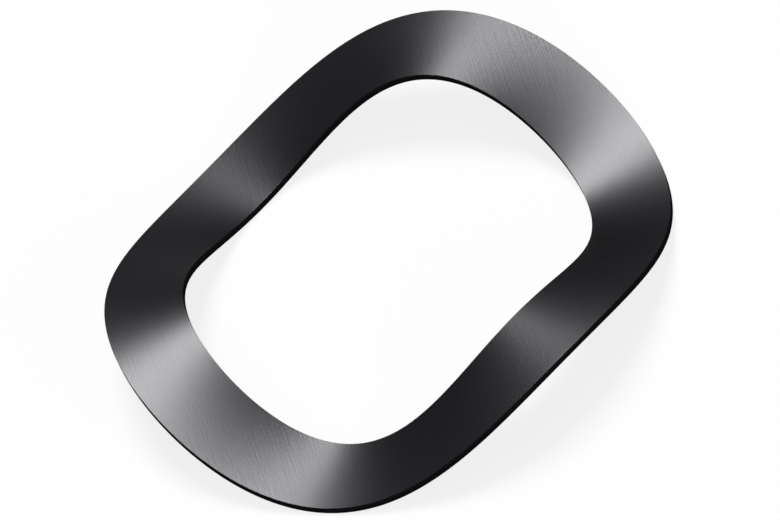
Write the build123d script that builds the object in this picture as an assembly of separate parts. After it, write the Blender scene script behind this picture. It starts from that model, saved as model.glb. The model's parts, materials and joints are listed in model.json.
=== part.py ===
from build123d import *
from build123d.topology import SkipClean
import os
from math import cos, radians, sin, sqrt

# Wave washer: a flat ring blanked from spring strip and pressed into a few equal waves.
# Millimetres. +Z is the washer's axis. The origin lies on the axis, in the plane that the
# troughs stand on, and one crest lies on +Y.

# Driving sizes
OUTER_DIAMETER = 29.5
BORE_DIAMETER = 21.0
STRIP_THICKNESS = 0.4
FREE_HEIGHT = 4.4            # from the troughs' underside to the crests' top, unloaded
WAVE_COUNT = 3
CREST_DIRECTION = 90.0       # degrees from +X to the first crest
EDGE_BREAK = 0.02            # tumbled radius along the wavy edges

# How the surfaces and walls are divided
POINTS_PER_WAVE = 24         # points that a wavy guide curve passes through, for one wave
SHEET_OVERLAP = 0.5          # how far the waved sheet runs past each wall before it is cut
PEAK_WALL_SHARE = 1 / 3      # share of half a wave that a wall face at a crest or trough takes
EDGE_BREAK_LIMIT = 0.4       # largest edge break, as a share of the strip's thickness

# Worked-out sizes
bore_radius = BORE_DIAMETER / 2
outer_radius = OUTER_DIAMETER / 2
wave_amplitude = (FREE_HEIGHT - STRIP_THICKNESS) / 2
middle_height = FREE_HEIGHT / 2
half_wave_angle = 180.0 / WAVE_COUNT
peak_wall_angle = PEAK_WALL_SHARE * half_wave_angle
edge_break = min(EDGE_BREAK, EDGE_BREAK_LIMIT * STRIP_THICKNESS)


def sheet_height(angle, radius, side):
    """Height of the strip's top (side 1) or underside (side -1). Its thickness is measured
    square to the sloping strip, so it is more when measured straight up."""
    phase = WAVE_COUNT * radians(angle - CREST_DIRECTION)
    slope = -WAVE_COUNT * wave_amplitude * sin(phase) / radius
    half_thickness = STRIP_THICKNESS / 2 * sqrt(1 + slope**2)
    return middle_height + wave_amplitude * cos(phase) + side * half_thickness


def wavy_curve(radius, side):
    """Closed curve that follows the waves at one radius, on one side of the strip."""
    count = POINTS_PER_WAVE * WAVE_COUNT
    points = []
    for step in range(count):
        angle = CREST_DIRECTION + 360.0 * step / count
        x = radius * cos(radians(angle))
        y = radius * sin(radians(angle))
        points.append(Vector(x, y, sheet_height(angle, radius, side)))
    return Edge.make_spline(points, periodic=True)


def waved_sheet():
    """The pressed strip, a little wider than the washer. Straight lines that run level
    from the bore to the rim make up its top and its underside."""
    inner_radius = bore_radius - SHEET_OVERLAP
    rim_radius = outer_radius + SHEET_OVERLAP
    inner_top = wavy_curve(inner_radius, 1)
    inner_under = wavy_curve(inner_radius, -1)
    rim_top = wavy_curve(rim_radius, 1)
    rim_under = wavy_curve(rim_radius, -1)
    top = Face.make_surface_from_curves(inner_top, rim_top)
    under = Face.make_surface_from_curves(inner_under, rim_under)
    inner_wall = Face.make_surface_from_curves(inner_top, inner_under)
    rim_wall = Face.make_surface_from_curves(rim_top, rim_under)
    return Solid(Shell([top, under, inner_wall, rim_wall]))


def divided_circle(radius):
    """Full circle in arcs: one on each crest and trough, and one on each flank between."""
    arcs = []
    for index in range(2 * WAVE_COUNT):
        peak = CREST_DIRECTION + half_wave_angle * index
        peak_start = peak - peak_wall_angle / 2
        peak_end = peak + peak_wall_angle / 2
        flank_end = peak_start + half_wave_angle
        arcs.append(Edge.make_circle(radius, start_angle=peak_start, end_angle=peak_end))
        arcs.append(Edge.make_circle(radius, start_angle=peak_end, end_angle=flank_end))
    return Wire(arcs)


def blanked_ring():
    """Straight-walled ring between the bore and the rim, taller than the waves."""
    face = Face(divided_circle(outer_radius), [divided_circle(bore_radius)])
    height = FREE_HEIGHT + 2 * SHEET_OVERLAP
    return Pos(0, 0, -SHEET_OVERLAP) * Solid.extrude(face, Vector(0, 0, height))


def wavy_edges(solid):
    """Edges along the waves, where the bore's or the rim's wall meets a wavy face."""
    edges = []
    for wall in solid.faces().filter_by(GeomType.CYLINDER):
        for edge in wall.edges():
            if edge.geom_type != GeomType.LINE:
                edges.append(edge)
    return edges


def make_washer():
    """The waved sheet, cut to the ring, with its sharp edges broken. Both steps skip the
    clean-up, so that the walls' arcs stay faces of their own."""
    with SkipClean():
        cut = blanked_ring().intersect(waved_sheet())[0]
        return cut.fillet(edge_break, wavy_edges(cut))


washer = make_washer()

os.makedirs("parts", exist_ok=True)
export_step(washer, "parts/washer.step")
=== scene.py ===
import json
import logging
from dataclasses import dataclass, field
from enum import Enum
from math import cos, pi, radians, sin
from typing import Any

import bmesh
import bpy
from mathutils import Matrix, Vector


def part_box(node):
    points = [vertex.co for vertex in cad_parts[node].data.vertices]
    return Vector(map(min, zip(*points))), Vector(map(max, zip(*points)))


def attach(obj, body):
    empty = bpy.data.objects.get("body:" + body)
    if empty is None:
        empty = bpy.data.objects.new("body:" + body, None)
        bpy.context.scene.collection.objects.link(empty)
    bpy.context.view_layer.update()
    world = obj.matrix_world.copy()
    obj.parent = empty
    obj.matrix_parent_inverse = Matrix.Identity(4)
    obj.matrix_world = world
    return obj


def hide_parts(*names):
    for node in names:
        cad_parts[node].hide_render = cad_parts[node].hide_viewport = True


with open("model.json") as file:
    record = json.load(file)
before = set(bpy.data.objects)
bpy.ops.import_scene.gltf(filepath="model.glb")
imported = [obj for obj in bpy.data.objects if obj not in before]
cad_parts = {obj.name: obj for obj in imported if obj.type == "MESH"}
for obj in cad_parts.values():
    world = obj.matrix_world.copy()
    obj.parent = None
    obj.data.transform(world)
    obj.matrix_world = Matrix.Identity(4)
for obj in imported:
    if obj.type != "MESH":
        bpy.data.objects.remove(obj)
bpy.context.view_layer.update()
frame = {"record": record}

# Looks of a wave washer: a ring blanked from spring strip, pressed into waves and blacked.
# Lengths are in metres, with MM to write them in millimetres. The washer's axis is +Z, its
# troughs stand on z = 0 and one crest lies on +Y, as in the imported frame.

MM = 0.001
BODY = "root"
CAD_NODE = "washer"
BORE_MOUNT = "bore"

WHITE = "#FFFFFF"
HEIGHT_IN_WALL = "height_in_wall"        # attribute: level in the strip, in thicknesses from its middle
TOP_LEVEL = 0.5                          # that level at the top's edge
WALL_UPWARD_LIMIT = 0.93                 # a face of the flat ring is wall if its normal rises less
LOW_NOISE = 0.3                          # nearly all of a noise pattern lies between these two
HIGH_NOISE = 0.7

log = logging.getLogger("wave_washer")


# ---------------------------------------------------------------- shared helpers


def linear(hex_colour: str) -> tuple[float, float, float, float]:
    """Turns an sRGB hex colour into the linear colour that a shader works in.

    Args:
        hex_colour: Six hex digits, with or without a leading #.

    Returns:
        Linear red, green, blue and an alpha of 1.
    """
    digits = hex_colour.lstrip("#")
    channels = []
    for start in (0, 2, 4):
        value = int(digits[start:start + 2], 16) / 255
        channels.append(value / 12.92 if value <= 0.04045 else ((value + 0.055) / 1.055) ** 2.4)
    return (*channels, 1.0)


def add_node(
    tree: bpy.types.NodeTree,
    kind: str,
    links: dict[int | str, Any] | None = None,
    **settings: Any,
) -> bpy.types.Node:
    """Adds a node with its settings and its links.

    Args:
        tree: Node tree of a material, a world or a Geometry Nodes group.
        kind: Type name of the node.
        links: For each input, by name or index, what feeds it: a socket, a node, which
            stands for its first output, or a plain value.
        **settings: Properties of the node, such as operation="MULTIPLY".

    Returns:
        The new node.
    """
    node = tree.nodes.new(kind)
    for name, value in settings.items():
        setattr(node, name, value)
    for name, value in (links or {}).items():
        if isinstance(value, bpy.types.Node):
            tree.links.new(value.outputs[0], node.inputs[name])
        elif isinstance(value, bpy.types.NodeSocket):
            tree.links.new(value, node.inputs[name])
        else:
            node.inputs[name].default_value = value
    return node


def new_material(name: str) -> tuple[bpy.types.Material, bpy.types.NodeTree]:
    """Makes a material with an empty node tree.

    Args:
        name: Name of the finish.

    Returns:
        The material and its node tree.
    """
    material = bpy.data.materials.new(name)
    material.use_nodes = True
    material.node_tree.nodes.clear()
    return material, material.node_tree


def add_seen_share(tree: bpy.types.NodeTree) -> bpy.types.Node:
    """Adds the test of whether a ray came from the camera, a reflection or a see-through piece.

    Args:
        tree: Node tree of a staging material.

    Returns:
        A node that gives 1 for such a ray and 0 for one that lights another surface.
    """
    ray = add_node(tree, "ShaderNodeLightPath").outputs
    camera_or_gloss = add_node(tree, "ShaderNodeMath", {
        0: ray["Is Camera Ray"], 1: ray["Is Glossy Ray"]}, operation="MAXIMUM")
    return add_node(tree, "ShaderNodeMath", {
        0: camera_or_gloss, 1: ray["Is Transmission Ray"]}, operation="MAXIMUM")


# ---------------------------------------------------------------- finishes


@dataclass(frozen=True)
class BreakUp:
    """How a noise pattern breaks up into finer layers."""

    layers: float
    strength: float                      # of each layer, as a share of the one before it


@dataclass(frozen=True)
class BlackedStrip:
    """Carbon spring steel strip, cold rolled bright, tempered and chemically blacked.

    The oxide film is thin and hard, so the metal still shines through it as a broad satin
    highlight, and its colour is a deep, nearly neutral grey.
    """

    name: str = "blacked_cold_rolled_spring_steel"
    film_colour: str = "#515152"
    thin_film_colour: str = "#555556"
    edge_reflection: str = "#9C9C9C"     # low for steel: keeps steep slopes dark over a white floor
    roughness: float = 0.38
    roughness_spread: float = 0.008
    grain_share: float = 0.5             # of the spread; the clouds give the rest
    cloud_size: float = 3.5 * MM         # patches where the bath left the film a little thinner
    cloud_break_up: BreakUp = BreakUp(3.0, 0.55)
    rolling_direction: float = 62.0      # degrees between the grain and the X axis
    grain_width: float = 0.09 * MM       # rolling lines are finer and shallower: drawn to show
    grain_length: float = 3.0 * MM
    grain_depth: float = 0.0048 * MM
    grain_break_up: BreakUp = BreakUp(2.0, 0.6)
    peening_size: float = 0.16 * MM      # tumbling marks, also coarser and deeper than real ones
    peening_depth: float = 0.0022 * MM
    peening_break_up: BreakUp = BreakUp(2.0, 0.5)

    def build(self) -> bpy.types.Material:
        """Makes the material of the washer's top and underside."""
        material, tree = new_material(self.name)
        place = add_node(tree, "ShaderNodeTexCoord").outputs["Object"]
        clouds = add_node(tree, "ShaderNodeTexNoise", {
            "Vector": place,
            "Scale": 1 / self.cloud_size,
            "Detail": self.cloud_break_up.layers,
            "Roughness": self.cloud_break_up.strength})
        along = add_node(tree, "ShaderNodeVectorRotate", {
            "Vector": place, "Angle": radians(self.rolling_direction)}, rotation_type="Z_AXIS")
        stretched = add_node(tree, "ShaderNodeVectorMath", {
            0: along,
            1: (1 / self.grain_length, 1 / self.grain_width, 0.0)}, operation="MULTIPLY")
        grain = add_node(tree, "ShaderNodeTexNoise", {
            "Vector": stretched,
            "Scale": 1.0,
            "Detail": self.grain_break_up.layers,
            "Roughness": self.grain_break_up.strength})
        peening = add_node(tree, "ShaderNodeTexNoise", {
            "Vector": place,
            "Scale": 1 / self.peening_size,
            "Detail": self.peening_break_up.layers,
            "Roughness": self.peening_break_up.strength})
        colour = add_node(tree, "ShaderNodeMix", {
            "Factor": clouds.outputs["Fac"],
            6: linear(self.film_colour),
            7: linear(self.thin_film_colour)}, data_type="RGBA")
        uneven = add_node(tree, "ShaderNodeMix", {
            "Factor": self.grain_share, 2: clouds.outputs["Fac"], 3: grain.outputs["Fac"]})
        rough = add_node(tree, "ShaderNodeMapRange", {
            "Value": uneven,
            "From Min": LOW_NOISE,
            "From Max": HIGH_NOISE,
            "To Min": self.roughness - self.roughness_spread,
            "To Max": self.roughness + self.roughness_spread})
        lines = add_node(tree, "ShaderNodeBump", {
            "Height": grain.outputs["Fac"], "Strength": 1.0, "Distance": self.grain_depth})
        marks = add_node(tree, "ShaderNodeBump", {
            "Height": peening.outputs["Fac"],
            "Strength": 1.0,
            "Distance": self.peening_depth,
            "Normal": lines})
        steel = add_node(tree, "ShaderNodeBsdfPrincipled", {
            "Base Color": colour.outputs[2],
            "Metallic": 1.0,
            "Roughness": rough,
            "Specular Tint": linear(self.edge_reflection),
            "Normal": marks})
        add_node(tree, "ShaderNodeOutputMaterial", {"Surface": steel})
        return material


@dataclass(frozen=True)
class ShearedEdgePaintedShade:
    """The blanked wall of the strip, which has the same black film as the faces but is drawn far darker:
    painted shade.

    Shearing leaves a smooth burnished band on the punch's side and a torn, matt band under
    it. Both are drawn almost dead black, as painted shade of a wall in shadow.
    """

    name: str = "sheared_edge_painted_shade"
    # Both band colours are painted shade: far darker than the blacked faces, so the wall reads as in
    # shadow.
    burnished_shade_colour: str = "#161617"
    torn_shade_colour: str = "#101012"
    burnished_roughness: float = 0.62
    torn_roughness: float = 0.85
    shine: float = 0.0                   # less than a real edge has: painted shade that keeps the wall black
    burnished_share: float = 0.4         # of the strip's thickness, from the top
    border_softness: float = 0.05        # half the border's height, as a share of the thickness
    tear_width: float = 0.05 * MM
    tear_height: float = 0.6 * MM
    tear_depth: float = 0.004 * MM
    tear_strength: float = 0.7
    tear_break_up: BreakUp = BreakUp(2.0, 0.6)

    def build(self) -> bpy.types.Material:
        """Makes the material of the bore's and the rim's wall, with its painted shade."""
        material, tree = new_material(self.name)
        place = add_node(tree, "ShaderNodeTexCoord").outputs["Object"]
        level = add_node(
            tree, "ShaderNodeAttribute", attribute_type="GEOMETRY", attribute_name=HEIGHT_IN_WALL)
        border = TOP_LEVEL - self.burnished_share
        torn = add_node(tree, "ShaderNodeMapRange", {
            "Value": level.outputs["Fac"],
            "From Min": border + self.border_softness,
            "From Max": border - self.border_softness,
            "To Min": 0.0,
            "To Max": 1.0})
        upright = add_node(tree, "ShaderNodeVectorMath", {
            0: place,
            1: (1 / self.tear_width, 1 / self.tear_width, 1 / self.tear_height)},
            operation="MULTIPLY")
        tears = add_node(tree, "ShaderNodeTexNoise", {
            "Vector": upright,
            "Scale": 1.0,
            "Detail": self.tear_break_up.layers,
            "Roughness": self.tear_break_up.strength})
        colour = add_node(tree, "ShaderNodeMix", {
            "Factor": torn,
            6: linear(self.burnished_shade_colour),
            7: linear(self.torn_shade_colour)}, data_type="RGBA")
        rough = add_node(tree, "ShaderNodeMix", {
            "Factor": torn, 2: self.burnished_roughness, 3: self.torn_roughness})
        relief = add_node(tree, "ShaderNodeMath", {
            0: tears.outputs["Fac"], 1: torn}, operation="MULTIPLY")
        bump = add_node(tree, "ShaderNodeBump", {
            "Height": relief, "Strength": self.tear_strength, "Distance": self.tear_depth})
        edge = add_node(tree, "ShaderNodeBsdfPrincipled", {
            "Base Color": colour.outputs[2],
            "Roughness": rough,
            "Specular IOR Level": self.shine,
            "Normal": bump})
        add_node(tree, "ShaderNodeOutputMaterial", {"Surface": edge})
        return material


@dataclass(frozen=True)
class MattCard:
    """White matt card under the washer, which fades to plain white round its shadow."""

    name: str = "matt_white_card"
    colour: str = "#EDEDEC"
    seen_share: float = 0.20             # share of its own lit colour that the eye gets
    glow: float = 0.83                   # white added for the eye and for reflections

    def build(self) -> bpy.types.Material:
        """Makes the material of the floor."""
        material, tree = new_material(self.name)
        seen = add_seen_share(tree)
        white = linear(self.colour)
        dimmed = tuple(channel * self.seen_share for channel in white[:3])
        card = add_node(tree, "ShaderNodeBsdfDiffuse", {"Color": white})
        dim_card = add_node(tree, "ShaderNodeBsdfDiffuse", {"Color": (*dimmed, 1.0)})
        glow = add_node(tree, "ShaderNodeEmission", {"Color": linear(WHITE), "Strength": self.glow})
        bright = add_node(tree, "ShaderNodeAddShader", {0: dim_card, 1: glow})
        mix = add_node(tree, "ShaderNodeMixShader", {"Fac": seen, 1: card, 2: bright})
        add_node(tree, "ShaderNodeOutputMaterial", {"Surface": mix})
        return material


@dataclass(frozen=True)
class PlainBacking:
    """White backing under the floor, about as white as the floor looks far from the washer."""

    name: str = "plain_white_backing"
    glow: float = 1.0

    def build(self) -> bpy.types.Material:
        """Makes the material of the backing."""
        material, tree = new_material(self.name)
        seen = add_seen_share(tree)
        glow = add_node(tree, "ShaderNodeMath", {0: seen, 1: self.glow}, operation="MULTIPLY")
        white = add_node(tree, "ShaderNodeEmission", {"Color": linear(WHITE), "Strength": glow})
        add_node(tree, "ShaderNodeOutputMaterial", {"Surface": white})
        return material


# ---------------------------------------------------------------- the washer


class InputKind(Enum):
    """Kinds of named input that the washer's shape takes."""

    NUMBER = "NodeSocketFloat"
    COUNT = "NodeSocketInt"
    FINISH = "NodeSocketMaterial"


@dataclass
class PressedWasher:
    """The one-piece washer, made by rule from its sizes.

    A rounded strip section is carried round a circle, and the flat ring is then pressed into
    waves, with its thickness kept square to the slope and its generators kept level.
    """

    outer_diameter: float
    bore_diameter: float
    free_height: float
    strip_thickness: float = 0.4 * MM
    edge_break: float = 0.02 * MM
    wave_count: int = 3
    crest_direction: float = radians(90)
    steps_around: int = 432
    step_across: float = 0.36 * MM
    corner_steps: int = 3
    face_finish: BlackedStrip = field(default_factory=BlackedStrip)
    # The wall's finish is painted shade: its colour is far darker than the faces' film.
    edge_shade_finish: ShearedEdgePaintedShade = field(default_factory=ShearedEdgePaintedShade)

    @classmethod
    def from_frame(cls, node: str) -> "PressedWasher":
        """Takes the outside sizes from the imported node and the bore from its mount.

        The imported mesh's chords lie just inside the true circle, so its width is rounded.

        Args:
            node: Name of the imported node.

        Returns:
            A washer of the same sizes.
        """
        low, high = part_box(node)
        bore = next(mount for mount in frame["record"]["mounts"] if mount["name"] == BORE_MOUNT)
        across = max(high[0] - low[0], high[1] - low[1])
        return cls(
            outer_diameter=round(across / MM, 1) * MM,
            bore_diameter=2 * bore["dims"]["r_mm"] * MM,
            free_height=round((high[2] - low[2]) / MM, 2) * MM,
        )

    def sockets(self) -> dict[str, tuple[InputKind, Any]]:
        """Named inputs of the shape's node tree: the kind of each and its value."""
        return {
            "Outer diameter": (InputKind.NUMBER, self.outer_diameter),
            "Bore": (InputKind.NUMBER, self.bore_diameter),
            "Strip thickness": (InputKind.NUMBER, self.strip_thickness),
            "Free height": (InputKind.NUMBER, self.free_height),
            "Edge break": (InputKind.NUMBER, self.edge_break),
            "Waves": (InputKind.COUNT, self.wave_count),
            "Crest direction": (InputKind.NUMBER, self.crest_direction),
            "Steps around": (InputKind.COUNT, self.steps_around),
            "Step across": (InputKind.NUMBER, self.step_across),
            "Corner steps": (InputKind.COUNT, self.corner_steps),
            "Face finish": (InputKind.FINISH, self.face_finish.build()),
            "Edge finish": (InputKind.FINISH, self.edge_shade_finish.build()),
        }

    def add_flat_ring(
        self, tree: bpy.types.NodeTree, size: Any, spans: dict[str, bpy.types.Node],
    ) -> bpy.types.Node:
        """Adds the strip's section, with its corners broken, carried round a circle.

        Args:
            tree: The washer's node tree.
            size: Sockets of the named inputs.
            spans: The strip's radial width, its mean radius and a point's position.

        Returns:
            The node that gives the flat ring.
        """
        outline = add_node(tree, "GeometryNodeCurvePrimitiveQuadrilateral", {
            "Width": spans["radial width"], "Height": size["Strip thickness"]}, mode="RECTANGLE")
        rounded = add_node(tree, "GeometryNodeFilletCurve", {
            "Curve": outline,
            "Count": size["Corner steps"],
            "Radius": size["Edge break"],
            "Limit Radius": True}, mode="POLY")
        after = add_node(tree, "GeometryNodeOffsetPointInCurve", {"Offset": 1})
        there = add_node(tree, "GeometryNodeFieldAtIndex", {
            "Index": after.outputs["Point Index"],
            "Value": spans["position"]}, data_type="FLOAT_VECTOR")
        gap = add_node(tree, "ShaderNodeVectorMath", {
            0: spans["position"], 1: there}, operation="DISTANCE").outputs["Value"]
        cuts = add_node(tree, "ShaderNodeMath", {0: gap, 1: size["Step across"]}, operation="DIVIDE")
        section = add_node(tree, "GeometryNodeSubdivideCurve", {"Curve": rounded, "Cuts": cuts})
        circle = add_node(tree, "GeometryNodeCurvePrimitiveCircle", {
            "Resolution": size["Steps around"], "Radius": spans["mean radius"]}, mode="RADIUS")
        return add_node(tree, "GeometryNodeCurveToMesh", {"Curve": circle, "Profile Curve": section})

    def add_wave(
        self, tree: bpy.types.NodeTree, size: Any, position: bpy.types.Node,
    ) -> dict[str, Any]:
        """Adds the place of a point in the flat ring, the waves' lift there and their slope.

        Args:
            tree: The washer's node tree.
            size: Sockets of the named inputs.
            position: A point's position in the flat ring.

        Returns:
            The point's radius and height, the way outwards, the lift, and the direction
            square to the sloping strip.
        """
        place = add_node(tree, "ShaderNodeSeparateXYZ", {0: position}).outputs
        angle = add_node(tree, "ShaderNodeMath", {0: place["Y"], 1: place["X"]}, operation="ARCTAN2")
        level_place = add_node(tree, "ShaderNodeCombineXYZ", {0: place["X"], 1: place["Y"], 2: 0.0})
        radius = add_node(
            tree, "ShaderNodeVectorMath", {0: level_place}, operation="LENGTH").outputs["Value"]
        x_part = add_node(tree, "ShaderNodeMath", {0: angle}, operation="COSINE")
        y_part = add_node(tree, "ShaderNodeMath", {0: angle}, operation="SINE")
        outwards = add_node(tree, "ShaderNodeCombineXYZ", {0: x_part, 1: y_part, 2: 0.0})
        round_ring = add_node(tree, "ShaderNodeVectorMath", {
            0: (0.0, 0.0, 1.0), 1: outwards}, operation="CROSS_PRODUCT")

        swing = add_node(tree, "ShaderNodeMath", {
            0: size["Free height"], 1: size["Strip thickness"]}, operation="SUBTRACT")
        amplitude = add_node(tree, "ShaderNodeMath", {0: swing, 1: 0.5}, operation="MULTIPLY")
        from_crest = add_node(tree, "ShaderNodeMath", {
            0: angle, 1: size["Crest direction"]}, operation="SUBTRACT")
        phase = add_node(tree, "ShaderNodeMath", {0: size["Waves"], 1: from_crest}, operation="MULTIPLY")
        wave = add_node(tree, "ShaderNodeMath", {0: phase}, operation="COSINE")
        middle = add_node(tree, "ShaderNodeMath", {0: size["Free height"], 1: 0.5}, operation="MULTIPLY")
        lift = add_node(tree, "ShaderNodeMath", {
            0: amplitude, 1: wave, 2: middle}, operation="MULTIPLY_ADD")

        steepest = add_node(tree, "ShaderNodeMath", {
            0: size["Waves"], 1: amplitude}, operation="MULTIPLY")
        steepness = add_node(tree, "ShaderNodeMath", {0: phase}, operation="SINE")
        fall = add_node(tree, "ShaderNodeMath", {0: steepest, 1: steepness}, operation="MULTIPLY")
        slope = add_node(tree, "ShaderNodeMath", {0: fall, 1: radius}, operation="DIVIDE")
        lean = add_node(tree, "ShaderNodeVectorMath", {
            0: round_ring, "Scale": slope}, operation="SCALE")
        leaning_up = add_node(tree, "ShaderNodeVectorMath", {
            0: (0.0, 0.0, 1.0), 1: lean}, operation="ADD")
        square_up = add_node(tree, "ShaderNodeVectorMath", {0: leaning_up}, operation="NORMALIZE")
        return {
            "radius": radius,
            "height": place["Z"],
            "outwards": outwards,
            "lift": lift,
            "square up": square_up,
        }

    def add_normal(
        self, tree: bpy.types.NodeTree, size: Any, spans: dict[str, bpy.types.Node],
        wave: dict[str, Any],
    ) -> bpy.types.Node:
        """Adds the pressed strip's own normal: the way from its section's inner core.

        Args:
            tree: The washer's node tree.
            size: Sockets of the named inputs.
            spans: The strip's radial width, its mean radius and a point's position.
            wave: The point's place and the waves' slope, as add_wave() gives them.

        Returns:
            The node that gives the normal.
        """
        from_middle = add_node(tree, "ShaderNodeMath", {
            0: wave["radius"], 1: spans["mean radius"]}, operation="SUBTRACT")
        parts = []
        for way, offset, span in (
            (wave["outwards"], from_middle, spans["radial width"]),
            (wave["square up"], wave["height"], size["Strip thickness"]),
        ):
            half = add_node(tree, "ShaderNodeMath", {0: span, 1: 0.5}, operation="MULTIPLY")
            core = add_node(tree, "ShaderNodeMath", {0: half, 1: size["Edge break"]}, operation="SUBTRACT")
            opposite = add_node(tree, "ShaderNodeMath", {0: core, 1: -1.0}, operation="MULTIPLY")
            raised = add_node(tree, "ShaderNodeMath", {0: offset, 1: opposite}, operation="MAXIMUM")
            nearest = add_node(tree, "ShaderNodeMath", {0: raised, 1: core}, operation="MINIMUM")
            beyond = add_node(tree, "ShaderNodeMath", {0: offset, 1: nearest}, operation="SUBTRACT")
            parts.append(add_node(tree, "ShaderNodeVectorMath", {
                0: way, "Scale": beyond}, operation="SCALE"))
        both = add_node(tree, "ShaderNodeVectorMath", {0: parts[0], 1: parts[1]}, operation="ADD")
        return add_node(tree, "ShaderNodeVectorMath", {0: both}, operation="NORMALIZE")

    def build_tree(self, sockets: dict[str, tuple[InputKind, Any]]) -> bpy.types.NodeTree:
        """Builds the Geometry Nodes group that makes the washer.

        Args:
            sockets: Named inputs, as sockets() gives them.

        Returns:
            The node group.
        """
        tree = bpy.data.node_groups.new("pressed_washer", "GeometryNodeTree")
        for name, (kind, _) in sockets.items():
            tree.interface.new_socket(name, in_out="INPUT", socket_type=kind.value)
        tree.interface.new_socket("Washer", in_out="OUTPUT", socket_type="NodeSocketGeometry")
        size = add_node(tree, "NodeGroupInput").outputs

        # The flat ring, and where each of its points goes.
        difference = add_node(tree, "ShaderNodeMath", {
            0: size["Outer diameter"], 1: size["Bore"]}, operation="SUBTRACT")
        total = add_node(tree, "ShaderNodeMath", {
            0: size["Outer diameter"], 1: size["Bore"]}, operation="ADD")
        spans = {
            "radial width": add_node(tree, "ShaderNodeMath", {0: difference, 1: 0.5}, operation="MULTIPLY"),
            "mean radius": add_node(tree, "ShaderNodeMath", {0: total, 1: 0.25}, operation="MULTIPLY"),
            "position": add_node(tree, "GeometryNodeInputPosition"),
        }
        ring = self.add_flat_ring(tree, size, spans)
        wave = self.add_wave(tree, size, spans["position"])
        normal = self.add_normal(tree, size, spans, wave)
        out = add_node(tree, "ShaderNodeVectorMath", {
            0: wave["outwards"], "Scale": wave["radius"]}, operation="SCALE")
        up = add_node(tree, "ShaderNodeVectorMath", {
            0: wave["square up"], "Scale": wave["height"]}, operation="SCALE")
        lifted = add_node(tree, "ShaderNodeCombineXYZ", {0: 0.0, 1: 0.0, 2: wave["lift"]})
        raised = add_node(tree, "ShaderNodeVectorMath", {0: up, 1: lifted}, operation="ADD")
        pressed = add_node(tree, "ShaderNodeVectorMath", {0: out, 1: raised}, operation="ADD")

        # Kept from the flat ring: each point's level, which faces are wall, and the normal.
        level = add_node(tree, "ShaderNodeMath", {
            0: wave["height"], 1: size["Strip thickness"]}, operation="DIVIDE")
        levelled = add_node(tree, "GeometryNodeStoreNamedAttribute", {
            "Geometry": ring, "Name": HEIGHT_IN_WALL, "Value": level}, data_type="FLOAT", domain="POINT")
        flat_normal = add_node(tree, "GeometryNodeInputNormal")
        upward = add_node(tree, "ShaderNodeSeparateXYZ", {0: flat_normal}).outputs["Z"]
        rise = add_node(tree, "ShaderNodeMath", {0: upward}, operation="ABSOLUTE")
        on_wall = add_node(tree, "FunctionNodeCompare", {
            0: rise, 1: WALL_UPWARD_LIMIT}, operation="LESS_THAN")
        marked = add_node(tree, "GeometryNodeCaptureAttribute", {"Geometry": levelled}, domain="FACE")
        marked.capture_items.new("BOOLEAN", "Wall")
        tree.links.new(on_wall.outputs[0], marked.inputs["Wall"])
        held = add_node(tree, "GeometryNodeCaptureAttribute", {"Geometry": marked}, domain="POINT")
        held.capture_items.new("VECTOR", "Normal")
        tree.links.new(normal.outputs[0], held.inputs["Normal"])

        # Pressed, shaded and finished.
        waved = add_node(tree, "GeometryNodeSetPosition", {"Geometry": held, "Position": pressed})
        smooth = add_node(tree, "GeometryNodeSetShadeSmooth", {"Geometry": waved, "Shade Smooth": True})
        shaded = add_node(tree, "GeometryNodeSetMeshNormal", {
            "Mesh": smooth, "Custom Normal": held.outputs["Normal"]}, mode="FREE", domain="POINT")
        real = add_node(tree, "GeometryNodeRealizeInstances", {"Geometry": shaded})
        faced = add_node(tree, "GeometryNodeSetMaterial", {
            "Geometry": real, "Material": size["Face finish"]})
        edged = add_node(tree, "GeometryNodeSetMaterial", {
            "Geometry": faced,
            "Selection": marked.outputs["Wall"],
            "Material": size["Edge finish"]})
        add_node(tree, "NodeGroupOutput", {"Washer": edged})
        return tree

    def build(self) -> bpy.types.Object:
        """Makes the washer as a plain mesh, which rides on the body and replaces the CAD node.

        Returns:
            The finished piece.
        """
        sockets = self.sockets()
        tree = self.build_tree(sockets)
        piece = bpy.data.objects.new("pressed_washer", bpy.data.meshes.new("blank"))
        bpy.context.collection.objects.link(piece)
        shaper = piece.modifiers.new("shape", "NODES")
        shaper.node_group = tree
        for item in tree.interface.items_tree:
            if item.in_out == "INPUT":
                shaper[item.identifier] = sockets[item.name][1]
        evaluated = piece.evaluated_get(bpy.context.evaluated_depsgraph_get())
        mesh = bpy.data.meshes.new_from_object(evaluated)
        piece.modifiers.remove(shaper)
        mesh.name = piece.name
        piece.data = mesh
        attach(piece, BODY)
        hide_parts(CAD_NODE)
        return piece


# ---------------------------------------------------------------- the studio


@dataclass(frozen=True)
class Card:
    """Wide level card under the washer."""

    name: str
    finish: MattCard | PlainBacking
    depth: float                         # how far it lies below the troughs
    half_width: float = 4.0

    def build(self) -> bpy.types.Object:
        """Makes the card and gives it its finish."""
        mesh = bpy.data.meshes.new(self.name)
        shape = bmesh.new()
        bmesh.ops.create_grid(shape, x_segments=1, y_segments=1, size=self.half_width)
        bmesh.ops.translate(shape, vec=(0.0, 0.0, -self.depth), verts=shape.verts)
        shape.to_mesh(mesh)
        shape.free()
        card = bpy.data.objects.new(self.name, mesh)
        bpy.context.collection.objects.link(card)
        mesh.materials.append(self.finish.build())
        return card


# The floor's small depth keeps the troughs from sharing its plane. The backing lies out of
# the washer's light, and only a view from close to floor level looks at it, under the floor.
FLOOR = Card(name="floor", finish=MattCard(), depth=0.005 * MM)
BACKING = Card(name="backing", finish=PlainBacking(), depth=30.0 * MM)


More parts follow.
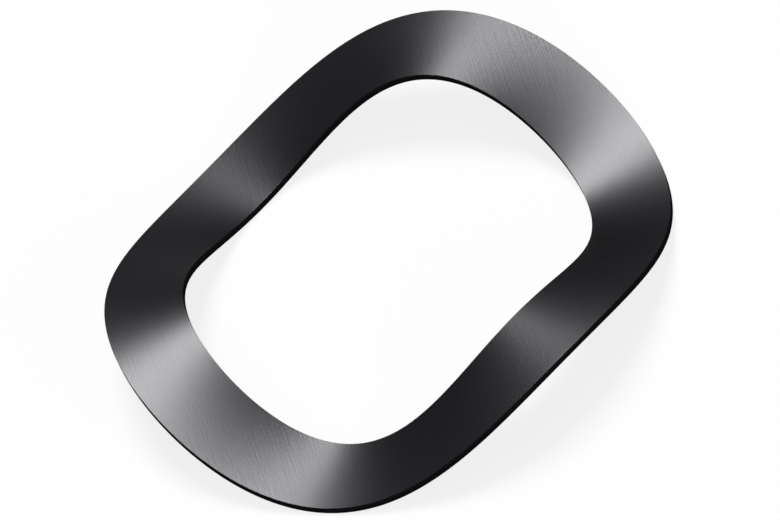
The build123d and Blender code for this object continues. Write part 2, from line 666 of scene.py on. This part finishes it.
@dataclass(frozen=True)
class Softbox:
    """Soft lamp that faces the washer's foot, with its place given as seen from there."""

    name: str
    azimuth: float                       # degrees round +Z from +X
    elevation: float                     # degrees above the floor
    turn: float                          # degrees that its length is turned from level
    distance: float
    length: float
    width: float
    level: float                         # share of full white that it gives a card facing it
    colour: str = WHITE

    def build(self) -> bpy.types.Object:
        """Makes the lamp, facing the washer."""
        lamp = bpy.data.lights.new(self.name, "AREA")
        lamp.shape = "RECTANGLE"
        lamp.size = self.length
        lamp.size_y = self.width
        lamp.color = linear(self.colour)[:3]
        # Power that gives a white card facing the lamp, at this distance, that level.
        lamp.energy = pi ** 2 * self.level * self.distance ** 2
        softbox = bpy.data.objects.new(self.name, lamp)
        bpy.context.collection.objects.link(softbox)
        azimuth, elevation, turn = (radians(v) for v in (self.azimuth, self.elevation, self.turn))
        towards = Vector((cos(elevation) * cos(azimuth), cos(elevation) * sin(azimuth), sin(elevation)))
        level_side = Vector((-sin(azimuth), cos(azimuth), 0.0))
        along = level_side * cos(turn) + towards.cross(level_side) * sin(turn)
        axes = Matrix((along, towards.cross(along), towards)).transposed()
        softbox.matrix_world = Matrix.Translation(towards * self.distance) @ axes.to_4x4()
        return softbox


# The key lies along the satin strip as a broad highlight wherever the strip leans half way
# between it and the eye. The fill lifts the slopes that lean the other way, a little cooler.
# The panel low behind the camera gives the strip its sheen when it is seen from the far side.
KEY = Softbox(
    name="key_softbox", azimuth=101.1, elevation=70.7, turn=46.1,
    distance=2.25, length=0.806, width=1.132, level=0.807)
FILL = Softbox(
    name="fill_panel", azimuth=-49.9, elevation=71.4, turn=0.0,
    distance=3.00, length=2.00, width=2.00, level=0.113, colour="#F2EEFF")
LOW = Softbox(
    name="low_panel", azimuth=-45.0, elevation=18.0, turn=0.0,
    distance=3.00, length=2.80, width=1.10, level=0.340)


@dataclass(frozen=True)
class Room:
    """Dim even surroundings, which fill the shadows."""

    colour: str = "#E6E0FF"
    level: float = 0.115

    def build(self) -> bpy.types.World:
        """Makes the world."""
        world = bpy.data.worlds.new("room")
        world.use_nodes = True
        tree = world.node_tree
        tree.nodes.clear()
        glow = add_node(tree, "ShaderNodeBackground", {
            "Color": linear(self.colour), "Strength": self.level})
        add_node(tree, "ShaderNodeOutputWorld", {"Surface": glow})
        bpy.context.scene.world = world
        return world


@dataclass(frozen=True)
class Camera:
    """Distant flat view of the washer from above, turned so that it leans up to the right."""

    azimuth: float = 34.07               # degrees round +Z from -Y
    elevation: float = 46.10             # degrees above the floor
    roll: float = 26.006                 # degrees that the view is turned
    frame_width: float = 39.99 * MM
    aim_right: float = 0.0703 * MM
    aim_up: float = 0.0873 * MM
    distance: float = 0.5
    nearest: float = 0.01                # nearest and farthest distance that it sees
    farthest: float = 10.0

    def build(self, middle: Vector) -> bpy.types.Object:
        """Makes the camera and gives it to the scene.

        Args:
            middle: Centre of the washer.

        Returns:
            The camera.
        """
        turn, tilt, roll = (radians(value) for value in (self.azimuth, self.elevation, self.roll))
        back = Vector((sin(turn) * cos(tilt), -cos(turn) * cos(tilt), sin(tilt)))
        level_right = Vector((cos(turn), sin(turn), 0.0))
        level_up = back.cross(level_right)
        right = level_right * cos(roll) - level_up * sin(roll)
        up = level_right * sin(roll) + level_up * cos(roll)
        lens = bpy.data.cameras.new("camera")
        lens.type = "ORTHO"
        lens.ortho_scale = self.frame_width
        lens.clip_start = self.nearest
        lens.clip_end = self.farthest
        camera = bpy.data.objects.new("camera", lens)
        bpy.context.collection.objects.link(camera)
        aim = middle + right * self.aim_right + up * self.aim_up
        axes = Matrix((right, up, back)).transposed()
        camera.matrix_world = Matrix.Translation(aim + back * self.distance) @ axes.to_4x4()
        bpy.context.scene.camera = camera
        return camera


def main() -> None:
    """Builds the washer and the studio round it, and reports each piece."""
    logging.basicConfig(level=logging.INFO, format="%(name)s: %(message)s")
    low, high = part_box(CAD_NODE)
    middle = Vector((0.0, 0.0, (low[2] + high[2]) / 2))
    Camera().build(middle)
    washer = PressedWasher.from_frame(CAD_NODE)
    piece = washer.build()
    log.info("%s: %d faces, %.2f mm outside, %.2f mm bore, %.2f mm high", piece.name,
             len(piece.data.polygons), washer.outer_diameter / MM, washer.bore_diameter / MM,
             washer.free_height / MM)
    for stage_piece in (FLOOR, BACKING, KEY, FILL, LOW, Room()):
        log.info("%s made", stage_piece.build().name)
    bpy.context.scene.view_settings.view_transform = "Standard"


if __name__ == "__main__":
    main()
